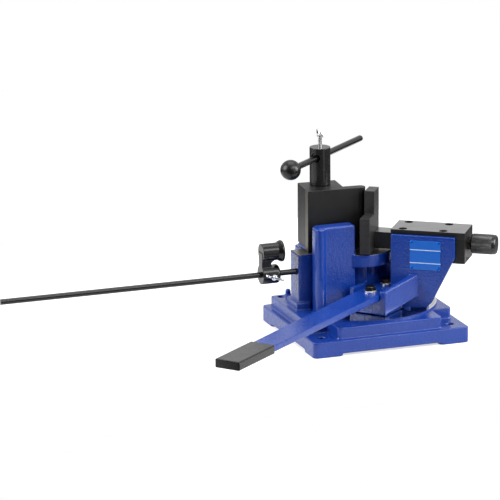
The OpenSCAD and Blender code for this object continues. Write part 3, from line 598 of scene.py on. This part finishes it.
def grid_tree():
    """Copies on a grid from the origin: Count along X, Gap X apart, in Rows that are Gap Y apart."""
    tree, given, column, row = new_tree("copies_on_grid", {
        "Count": "Int", "Rows": "Int", "Gap X": "Float", "Gap Y": "Float", "Turn": "Float",
        "Detail": "Object", "Finish": "Material",
    })
    across = add(tree, "ShaderNodeMath", operation="MULTIPLY", Value=column, Value_001=given["Gap X"])
    along = add(tree, "ShaderNodeMath", operation="MULTIPLY", Value=row, Value_001=given["Gap Y"])
    position = add(tree, "ShaderNodeCombineXYZ", X=across, Y=along)
    return put_copies(tree, given, position, given["Turn"])


RINGS = ring_tree()
GRID = grid_tree()


def repeat(name, tree, detail, material, matrix, **values):
    """Copies of a detail by a tree, baked into one plain mesh and set in its place."""
    template = new_piece(name + "_detail", detail)
    piece = new_piece(name, bpy.data.meshes.new(name))
    copies = piece.modifiers.new("copies", "NODES")
    copies.node_group = tree
    values.update(Detail=template, Finish=material)
    for item in tree.interface.items_tree:
        if item.in_out == "INPUT":
            copies[item.identifier] = values[item.name.replace(" ", "_")]
    plain_mesh(piece)
    piece.data.transform(matrix)
    bpy.data.objects.remove(template)
    return piece


def in_plan(turn, place):
    """Matrix of a place given in axes turned about the pivot."""
    return Matrix.Translation(PIVOT) @ Matrix.Rotation(turn, 4, "Z") @ Matrix.Translation(place)


# Castings and lever

base = cast_piece("base_casting", ENAMEL, grain=1.1 * MM, kept=0.25)
machine(base, MILLED_IRON, UP, SLOT_LEVEL)
cast_piece("arm_casting", ENAMEL, grain=1.0 * MM)
cast_piece("lever", ENAMEL, grain=0.8 * MM, runs=4)
cast_piece("lever_grip", RUBBER, grain=0.6 * MM, runs=3)
rounded_piece("label_plate", LABEL, radius=0.2 * MM, segments=2)

# Blacked steel pieces

DIE_END = Vector((-math.cos(DIE_TURN), -math.sin(DIE_TURN), 0))
die = rounded_piece("bending_die", BLACK_DIE, radius=0.7 * MM)
machine(die, SAWN_STEEL, DIE_END)
rounded_piece("clamp_block", BLACK_DIE, radius=0.7 * MM)
cast_piece("spindle_head", BLACK_TURNED, grain=0.5 * MM, runs=3)
rounded_piece("slider_housing", BLACK_ARM, radius=0.6 * MM)
cover = rounded_piece("housing_cover", BLACK_ARM, radius=0.6 * MM)
# The cover's top is bare ground steel, and also a painted highlight of the light from above
machine(cover, GROUND_STEEL_AND_HIGHLIGHT, UP)
# The slider and the jaw take the lighter blacking: painted light against the shade under the housing
slider = rounded_piece("slider_bar", BLACK_SLIDE_PAINTED_LIGHT, radius=0.6 * MM)
# The slider's top is bare ground steel, and also a painted highlight of the light from above
machine(slider, GROUND_STEEL_AND_HIGHLIGHT, UP)
rounded_piece("press_jaw", BLACK_SLIDE_PAINTED_LIGHT, radius=0.8 * MM)
cast_piece("stop_bracket", BLACK_BRACKET, grain=0.6 * MM, runs=4)

KNOB_END = Vector((math.cos(ARM_TURN), math.sin(ARM_TURN), 0))
knob = rounded_piece("adjusting_knob", BLACK_TURNED, radius=0.5 * MM)
# The end face of the knob takes the darker blacking: painted shade
machine(knob, BLACK_SHADED_END, KNOB_END)

# The knurl is drawn twice as coarse as a real one, so that it shows
KNURL_TEETH = 40
KNURL_ROWS = 26
KNURL_HEIGHT = 0.45 * MM
KNURL_MARGIN = 3 * MM
KNURL_PITCH = math.pi * KNOB_RADIUS / KNURL_TEETH
knurl = repeat("knob_knurl", RINGS, pyramid(KNURL_PITCH, KNURL_HEIGHT), BLACK_KNURL,
               in_plan(ARM_TURN, Vector((KNOB_START + KNURL_MARGIN, 0, SLIDER_LEVEL)))
               @ Matrix.Rotation(math.pi / 2, 4, "Y"),
               Count=KNURL_TEETH, Rows=KNURL_ROWS, Radius=KNOB_RADIUS, Pitch=KNURL_PITCH, Start=0.0,
               Step=2 * math.pi / KNURL_TEETH, Stagger=0.5)
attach(knurl, "knob")

# Fasteners and scale

cast_piece("bar_lock_screw", ZINC, grain=0.35 * MM, runs=5)
cast_piece("stop_wing_screw", ZINC, grain=0.35 * MM, runs=5)

first_bolt = in_plan(LEVER_TURN, Vector((LEVER_BOLTS[0], LEVER_OFFSET, LEVER_TOP)))
bolt_gap = LEVER_BOLTS[1] - LEVER_BOLTS[0]
bolt = hex_bolt(BOLT_HALF_WIDTH, BOLT_HEAD_HEIGHT, BOLT_RADIUS, BOLT_DEPTH)
bolts = repeat("lever_bolts_finished", GRID, bolt, PASSIVATED,
               first_bolt @ Matrix.Translation((0, 0, WASHER_THICKNESS)),
               Count=2, Rows=1, Gap_X=bolt_gap, Gap_Y=0.0, Turn=BOLT_FACING)
stand_for(bolts, "lever_bolts")
washers = repeat("lever_washers_finished", GRID, washer(WASHER_RADIUS, BOLT_RADIUS, WASHER_THICKNESS), ZINC,
                 first_bolt, Count=2, Rows=1, Gap_X=bolt_gap, Gap_Y=0.0, Turn=0.0)
stand_for(washers, "lever_washers")

first_rivet = LABEL_PLACE - Vector((RIVET_GAP[0] / 2, LABEL_THICKNESS, RIVET_GAP[1] / 2))
rivets = repeat("label_rivets_finished", GRID, dome_rivet(RIVET_RADIUS, RIVET_DEPTH), BLUE_ALUMINIUM,
                in_plan(ARM_TURN, first_rivet) @ Matrix.Rotation(math.pi / 2, 4, "X"),
                Count=2, Rows=2, Gap_X=RIVET_GAP[0], Gap_Y=RIVET_GAP[1], Turn=0.0)
stand_for(rivets, "label_rivets")

# Lines of the angle scale: every degree, longer at fives and tens
SCALE_LINES = {1: 4 * MM, 5: 6 * MM, 10: 9 * MM}
for degrees, length in SCALE_LINES.items():
    step = math.radians(degrees)
    lines = repeat(f"scale_lines_{degrees}", RINGS, graduation(length, SCALE_LINE_WIDTH), BLACK_TURNED,
                   in_plan(0, Vector((0, 0, SCALE_TOP))),
                   Count=round(SCALE_SWEEP / step) + 1, Rows=1, Radius=SCALE_RADIUS - SCALE_MARGIN, Pitch=0.0,
                   Start=SCALE_START, Step=step, Stagger=0.0)
    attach(lines, "base")

# Nodes whose shape is right take a finish only

CARRIED_OVER = {
    "scale_sector": ENAMEL,
    "scale_screws": ZINC,
    "pivot_pin": TURNED_STEEL,
    "pivot_key_screw": BLACK_TURNED,
    "thrust_washer": BRONZE,
    "spindle_bush": BRONZE,
    "stop_rod": BLACK_BRACKET,
    "rod_set_screw": BLACK_TURNED,
    "block_screws": BLACK_TURNED,
    "clamp_spindle": BLACK_TURNED,
    "tommy_bar": BLACK_BRACKET,
    "ball_knob": PHENOLIC,
    "upper_hub_bush": BRONZE,
    "lower_hub_bush": BRONZE,
    "housing_screws": BLACK_TURNED,
    "adjuster_bush": BRONZE,
    "jaw_screws": BLACK_TURNED,
    "adjusting_screw": TURNED_STEEL,
    "knob_grub_screw": BLACK_TURNED,
}
for node, material in CARRIED_OVER.items():
    mesh = NODES[node].data
    mesh.materials.clear()
    mesh.materials.append(material)
# The scale ring is polished on top, and its rim is painted with the casting; the rim's dark blue
# also stands in for the arm's blue reflected in the ring, a painted reflection
machine(NODES["scale_sector"], SCALE_STEEL, UP)

# Studio

MACHINE_CENTRE = Vector((-0.1, 0, 0.12))
# The dim side of the room, and how bright that side and the room below the table look in reflections
DIM_SIDE = Vector((-0.72, -0.66, -0.2))
DIM_LEVEL = 0.08
BELOW_LEVEL = 0.1
# Share of the room that lights the machine, and how far the floor is lifted to white
LIGHT_SHARE = 0.14
FLOOR_LIFT = 0.62


def seen_rays(tree):
    """1 for what the camera sees itself, in a polished face or through glass, and 0 for light alone."""
    path = add(tree, "ShaderNodeLightPath").node.outputs
    seen = add(tree, "ShaderNodeMath", operation="MAXIMUM", Value=path["Is Camera Ray"],
               Value_001=path["Is Glossy Ray"])
    return add(tree, "ShaderNodeMath", operation="MAXIMUM", Value=seen, Value_001=path["Is Transmission Ray"])


def pale_floor():
    """Sheet of matt white paper under the machine. It is lifted to white where it is seen, also in
    reflections, and it keeps the shadow of the machine. It ends close to the machine on the right and
    in front, so that the black faces there do not mirror it."""
    material, tree, place = new_finish("matt_white_floor")
    mottle = add(tree, "ShaderNodeTexNoise", Vector=place, Scale=1 / (300 * MM), Detail=2.0)
    colour = add(tree, "ShaderNodeMix", data_type="RGBA", Factor_Float=mottle,
                 A_Color=linear("#CDCDCD"), B_Color=linear("#D3D3D3"))
    diffuse = add(tree, "ShaderNodeBsdfDiffuse", Color=colour)
    lift = add(tree, "ShaderNodeMath", operation="MULTIPLY", Value=seen_rays(tree), Value_001=FLOOR_LIFT)
    glow = add(tree, "ShaderNodeEmission", Strength=lift)
    both = add(tree, "ShaderNodeAddShader", Shader=diffuse, Shader_001=glow)
    add(tree, "ShaderNodeOutputMaterial", Surface=both)
    left, right, front, back = -1.2, 0.5, -0.36, 0.7
    mesh = bpy.data.meshes.new("studio_floor")
    corners = [(left, front, 0), (right, front, 0), (right, back, 0), (left, back, 0)]
    mesh.from_pydata(corners, [], [(0, 1, 2, 3)])
    mesh.materials.append(material)
    floor = new_piece("studio_floor", mesh)


def white_surround():
    """White to the camera, and in reflections white all round above the table, but for the dim end of
    the studio, beside the camera on its left."""
    world = bpy.data.worlds.new("white_surround")
    world.use_nodes = True
    tree = world.node_tree
    tree.nodes.clear()
    way = add(tree, "ShaderNodeTexCoord", "Generated")
    nearness = add(tree, "ShaderNodeVectorMath", "Value", operation="DOT_PRODUCT", Vector=way,
                   Vector_001=DIM_SIDE.normalized())
    soft = add(tree, "ShaderNodeMapRange", Value=nearness, From_Min=0.9, From_Max=-0.1,
               To_Min=DIM_LEVEL, To_Max=1.0)
    height = add(tree, "ShaderNodeSeparateXYZ", "Z", Vector=way)
    above = add(tree, "ShaderNodeMapRange", Value=height, From_Min=-0.15, From_Max=0.15,
                To_Min=BELOW_LEVEL, To_Max=1.0)
    room = add(tree, "ShaderNodeMath", operation="MINIMUM", Value=soft, Value_001=above)
    share = add(tree, "ShaderNodeMapRange", Value=seen_rays(tree), To_Min=LIGHT_SHARE, To_Max=1.0)
    side = add(tree, "ShaderNodeMath", operation="MULTIPLY", Value=room, Value_001=share)
    camera = add(tree, "ShaderNodeLightPath", "Is Camera Ray")
    level = add(tree, "ShaderNodeMath", operation="MAXIMUM", Value=side, Value_001=camera)
    sky = add(tree, "ShaderNodeBackground", Color=linear("#FFFFFF"), Strength=level)
    add(tree, "ShaderNodeOutputWorld", Surface=sky)
    bpy.context.scene.world = world


def soft_box(name, place, width, height, power):
    """A soft box that looks at the machine. power is in watts."""
    light = bpy.data.lights.new(name, "AREA")
    light.shape = "RECTANGLE"
    light.size = width
    light.size_y = height
    light.energy = power
    lamp = bpy.data.objects.new(name, light)
    bpy.context.scene.collection.objects.link(lamp)
    lamp.location = place
    lamp.rotation_euler = (MACHINE_CENTRE - Vector(place)).to_track_quat("-Z", "Y").to_euler()


def photo_camera():
    """The camera, set where the photograph was taken from."""
    data = bpy.data.cameras.new("photo_camera")
    data.lens = CAMERA_LENS
    data.sensor_width = CAMERA_SENSOR
    data.clip_end = CAMERA_FAR
    camera = bpy.data.objects.new("photo_camera", data)
    bpy.context.scene.collection.objects.link(camera)
    upright = Euler((math.pi / 2 - CAMERA_ELEVATION, 0, -CAMERA_AZIMUTH)).to_quaternion()
    turned = upright @ Quaternion((0, 1, 0), CAMERA_PAN) @ Quaternion((1, 0, 0), CAMERA_TILT)
    camera.matrix_world = Matrix.LocRotScale(CAMERA_PLACE, turned, None)
    bpy.context.scene.camera = camera


pale_floor()
white_surround()
soft_box("left_soft_box", (-2.3, 0.2, 1.3), width=1.6, height=1.6, power=58)
soft_box("top_soft_box", (0.1, 0.3, 2.4), width=1.8, height=1.8, power=24)
soft_box("front_soft_box", (0.7, -1.7, 1.8), width=2.2, height=0.8, power=30)
soft_box("right_soft_box", (1.9, -1.3, 1.0), width=1.2, height=1.2, power=50)
soft_box("right_strip_box", (0.86, -2.05, 0.1), width=0.3, height=1.6, power=3)
photo_camera()
bpy.context.scene.view_settings.view_transform = "Standard"
